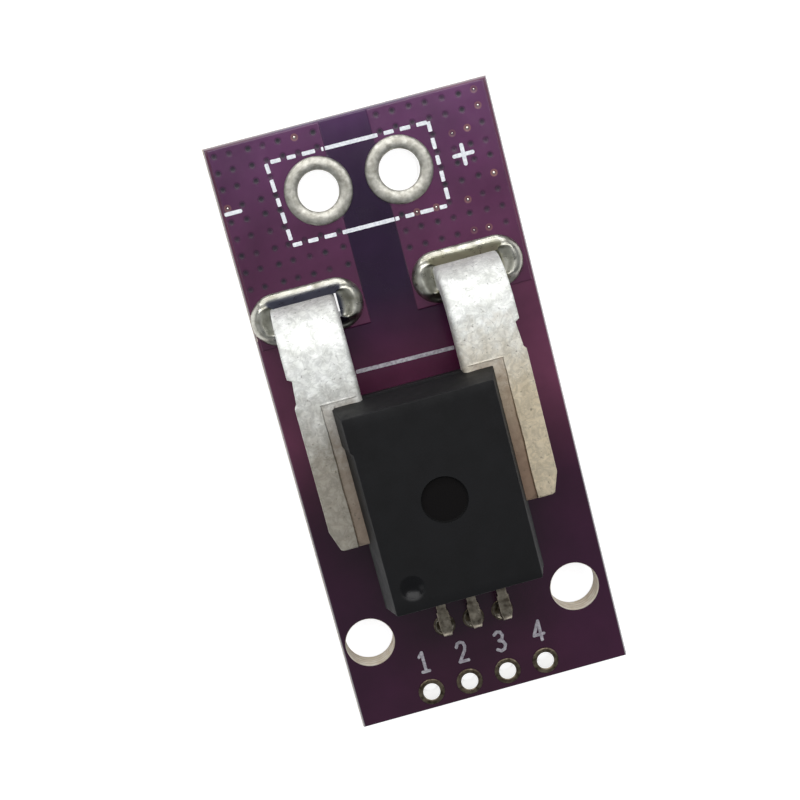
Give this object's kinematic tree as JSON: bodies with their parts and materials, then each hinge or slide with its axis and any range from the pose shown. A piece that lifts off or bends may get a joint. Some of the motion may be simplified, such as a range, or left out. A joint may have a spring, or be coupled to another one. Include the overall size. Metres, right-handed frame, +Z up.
{
  "type": "hall effect current sensor",
  "caption": "Small circuit board with a moulded current sensor whose two heavy tinned bars bend down through slots to the current terminals, and a row of signal holes.",
  "frame": {"origin": "below the middle of the board's outline, on the plane that the soldered tails stand on", "axes": "+X across the board, +Y along the board towards the current terminals, +Z up out of the component side"},
  "size_m": [0.0178, 0.0382, 0.0099],
  "materials": {
    "laminate": "glass epoxy laminate, snapped along its score lines, matte and slightly fibrous",
    "solder_mask": "purple screen-printed lacquer, glossy and slightly wavy over the copper",
    "silk_ink": "white screen-printed epoxy ink, thin and matte",
    "copper_foil": "etched copper foil",
    "tin_coat": "hot tinned copper, levelled, satin and slightly uneven",
    "solder": "reflowed solder, bright and lumpy",
    "tinned_copper": "stamped copper bar with a matte tin plate, scuffed, warmer along the case",
    "tinned_lead": "tin-plated lead frame, satin",
    "mould_compound": "moulded black epoxy compound, fine spark-eroded grain",
    "silicon": "bare silicon die",
    "gold_wire": "drawn gold wire",
    "soft_iron": "annealed nickel iron, dull grey",
    "capacitor_ceramic": "fired tan ceramic, matte",
    "resistor_glaze": "black glaze over white ceramic"
  },
  "bodies": {
    "root": {"bond_wires": "gold_wire", "bypass_capacitor": "capacitor_ceramic", "chip_end_caps": "tin_coat", "chip_joints": "solder", "circuit_board": "laminate", "copper_pour_left": "copper_foil", "copper_pour_right": "copper_foil", "filter_capacitor": "capacitor_ceramic", "filter_resistor": "resistor_glaze", "flux_ring": "soft_iron", "hall_die": "silicon", "hall_package": "mould_compound", "header_pad_1": "tin_coat", "header_pad_2": "tin_coat", "header_pad_3": "tin_coat", "header_pad_4": "tin_coat", "lead_joint_1": "solder", "lead_joint_2": "solder", "lead_joint_3": "solder", "lead_pad_1": "tin_coat", "lead_pad_2": "tin_coat", "lead_pad_3": "tin_coat", "primary_conductor": "tinned_copper", "sensor_case": "mould_compound", "signal_lead_1": "tinned_lead", "signal_lead_2": "tinned_lead", "signal_lead_3": "tinned_lead", "slot_joint_left": "solder", "slot_joint_right": "solder", "terminal_pad_left": "tin_coat", "terminal_pad_right": "tin_coat"}
  },
  "joints": []
}
